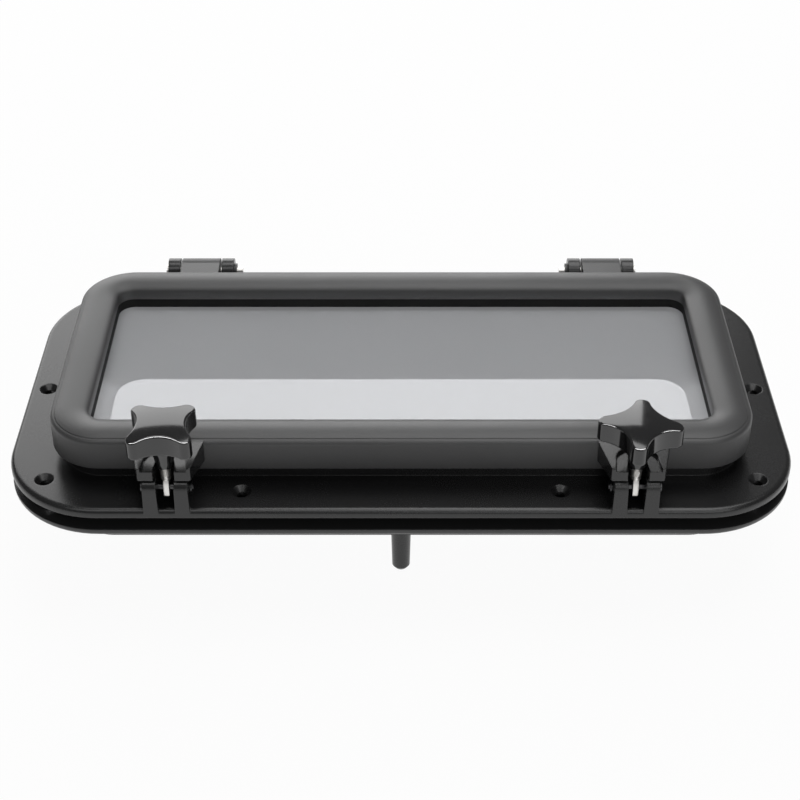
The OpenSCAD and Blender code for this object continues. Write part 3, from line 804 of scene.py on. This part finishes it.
class HATCH_OT_pins(Operator):
    """Give the pins, clips and inserts their finishes"""

    bl_idname = "hatch.pins"
    bl_label = "Pins, clips and inserts"

    def execute(self, context):
        colours = context.scene.hatch_colours
        steel = steel_material(colours.steel)
        dark = finish_material(
            "blackened steel", colours.dark_steel, grain=700.0, roughness=0.3, variation=0.12, drift=0.2, dust=0.0,
            depth=0.000006, metallic=1.0)
        clip = finish_material(
            "clip plastic", colours.clip, grain=900.0, roughness=0.38, variation=0.1, drift=0.2, dust=0.0,
            depth=0.00002)
        brass = finish_material(
            "turned brass", colours.brass, grain=500.0, roughness=0.3, variation=0.1, drift=0.15, dust=0.0,
            depth=0.00001, metallic=1.0)
        for side in ("left", "right"):
            dress("hinge_pin_" + side, steel)
            for node in ("trunnion_pin_", "trunnion_clip_"):
                dress(node + side, dark)
            dress("hinge_clip_" + side, clip)
            dress("knob_insert_" + side, brass)
        return {"FINISHED"}


# stage

def backdrop_material(colour):
    """White floor: lit paper that keeps the shadow, lifted to white for what the camera, gloss and glass see"""
    made = bpy.data.materials.new("white floor")
    made.use_nodes = True
    n, link = made.node_tree.nodes, made.node_tree.links.new
    n.clear()
    out = n.new("ShaderNodeOutputMaterial")
    paper = n.new("ShaderNodeBsdfDiffuse")
    paper.inputs["Color"].default_value = (*colour, 1)
    glow = n.new("ShaderNodeEmission")
    glow.inputs["Color"].default_value = (1, 1, 1, 1)
    path = n.new("ShaderNodeLightPath")
    first = n.new("ShaderNodeMath")
    first.operation = "MAXIMUM"
    second = n.new("ShaderNodeMath")
    second.operation = "MAXIMUM"
    part = n.new("ShaderNodeMath")
    part.operation = "MULTIPLY"
    part.inputs[1].default_value = 0.95
    mix = n.new("ShaderNodeMixShader")
    link(path.outputs["Is Camera Ray"], first.inputs[0])
    link(path.outputs["Is Glossy Ray"], first.inputs[1])
    link(first.outputs[0], second.inputs[0])
    link(path.outputs["Is Transmission Ray"], second.inputs[1])
    link(second.outputs[0], part.inputs[0])
    link(part.outputs[0], mix.inputs["Fac"])
    link(paper.outputs[0], mix.inputs[1])
    link(glow.outputs[0], mix.inputs[2])
    link(mix.outputs[0], out.inputs["Surface"])
    return made


def softbox(name, place, target, width, height, power):
    """A rectangular area lamp aimed at a point"""
    data = bpy.data.lights.new(name, "AREA")
    data.shape = "RECTANGLE"
    data.size = width
    data.size_y = height
    data.energy = power
    lamp = bpy.data.objects.new(name, data)
    bpy.context.scene.collection.objects.link(lamp)
    lamp.location = place
    lamp.rotation_euler = (Vector(target) - Vector(place)).to_track_quat("-Z", "Y").to_euler()
    return lamp


class HATCH_OT_stage(Operator):
    """Set up the white floor, the soft lamps, the world and the camera"""

    bl_idname = "hatch.stage"
    bl_label = "Stage"

    def execute(self, context):
        scene, stage = context.scene, context.scene.hatch_stage
        scene.view_settings.view_transform = "Standard"
        start_clean()
        bpy.ops.mesh.primitive_plane_add(size=FLOOR_SIZE, location=(0, 0, CAD_BOX[0].z - FLOOR_GAP))
        floor = context.object
        floor.name = "floor"
        place_in_mesh(floor)
        floor.data.materials.append(backdrop_material(scene.hatch_colours.floor))

        back = softbox("back_softbox", (-0.60, 2.0, 0.98), (-0.60, 0, 0.75), 2.2, 1.66, stage.back_power)
        top = softbox("top_softbox", (0.25, 0.35, 1.95), (0, 0.05, 0), 1.6, 1.3, stage.top_power)
        # the pane is lit from the front instead of from behind and above, where the rail would shade it
        film = softbox("pane_softbox", (0, -1.0, 1.7), (0, 0, 0), 1.6, 1.0, stage.pane_power)
        film.visible_glossy = False
        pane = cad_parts["glass_pane"]
        spared = bpy.data.collections.new("lit past the rails")
        spared.objects.link(pane)
        spared.collection_objects[0].light_linking.link_state = "EXCLUDE"
        for lamp in (back, top):
            lamp.light_linking.receiver_collection = spared
        lit = bpy.data.collections.new("pane film")
        lit.objects.link(pane)
        film.light_linking.receiver_collection = lit
        # the strong edge lamp shows in the glossy knobs alone, the weak rim lamp in every gloss
        sheen = softbox("edge_softbox", (0, -0.9, 1.6), (0, 0, 0), 4.4, 0.5, stage.edge_power)
        sheen.visible_diffuse = False
        gloss = bpy.data.collections.new("gloss knobs")
        for name in ("lobed_knob_left", "lobed_knob_right"):
            gloss.objects.link(bpy.data.objects[name])
        sheen.light_linking.receiver_collection = gloss
        rim = softbox("rim_softbox", (0, -0.9, 1.6), (0, 0, 0), 2.4, 0.5, stage.rim_power)
        rim.visible_diffuse = False
        softbox("front_softbox", (0.8, -1.9, 1.1), (0, 0, 0), 1.6, 0.8, stage.front_power)

        world = bpy.data.worlds.new("studio")
        scene.world = world
        world.use_nodes = True
        n, link = world.node_tree.nodes, world.node_tree.links.new
        sky = n["Background"]
        sky.inputs["Color"].default_value = (1, 1, 1, 1)
        path = n.new("ShaderNodeLightPath")
        seen = n.new("ShaderNodeMapRange")
        seen.inputs["To Min"].default_value = stage.world_strength
        seen.inputs["To Max"].default_value = 1.0
        link(path.outputs["Is Camera Ray"], seen.inputs["Value"])
        link(seen.outputs["Result"], sky.inputs["Strength"])

        data = bpy.data.cameras.new("camera")
        data.lens = stage.lens
        data.sensor_width = 36
        data.shift_x = CAMERA_SHIFT
        data.clip_start = 0.05
        camera = bpy.data.objects.new("camera", data)
        scene.collection.objects.link(camera)
        camera.location = CAMERA_PLACE
        camera.rotation_euler = (math.radians(90) - stage.elevation, 0, 0)
        scene.camera = camera
        return {"FINISHED"}


class HATCH_PT_panel(Panel):
    """Lists the pieces and their settings"""

    bl_idname = "HATCH_PT_panel"
    bl_label = "Boat hatch"
    bl_space_type = "VIEW_3D"
    bl_region_type = "UI"
    bl_category = "Hatch"

    def draw(self, context):
        layout = self.layout
        for step in STEPS:
            layout.operator(step)
        for group in (context.scene.hatch_sizes, context.scene.hatch_colours, context.scene.hatch_stage):
            box = layout.box()
            for name in type(group).__annotations__:
                box.prop(group, name)


STEPS = ("hatch.mouldings", "hatch.glazing", "hatch.pins", "hatch.knobs", "hatch.swing_bolts", "hatch.stage")
CLASSES = (HatchSizes, HatchColours, HatchStage, HATCH_OT_mouldings, HATCH_OT_glazing, HATCH_OT_pins, HATCH_OT_knobs,
           HATCH_OT_swing_bolts, HATCH_OT_stage, HATCH_PT_panel)


def register():
    """Registers the classes and hangs the settings on the scene"""
    for made in CLASSES:
        bpy.utils.register_class(made)
    bpy.types.Scene.hatch_sizes = PointerProperty(type=HatchSizes)
    bpy.types.Scene.hatch_colours = PointerProperty(type=HatchColours)
    bpy.types.Scene.hatch_stage = PointerProperty(type=HatchStage)


def unregister():
    """Takes the settings and classes away again"""
    del bpy.types.Scene.hatch_stage
    del bpy.types.Scene.hatch_colours
    del bpy.types.Scene.hatch_sizes
    for made in reversed(CLASSES):
        bpy.utils.unregister_class(made)


def main():
    """Builds the scene step by step"""
    register()
    bpy.ops.hatch.mouldings()
    bpy.ops.hatch.glazing()
    bpy.ops.hatch.pins()
    bpy.ops.hatch.knobs()
    bpy.ops.hatch.swing_bolts()
    bpy.ops.hatch.stage()


if __name__ == "__main__":
    main()
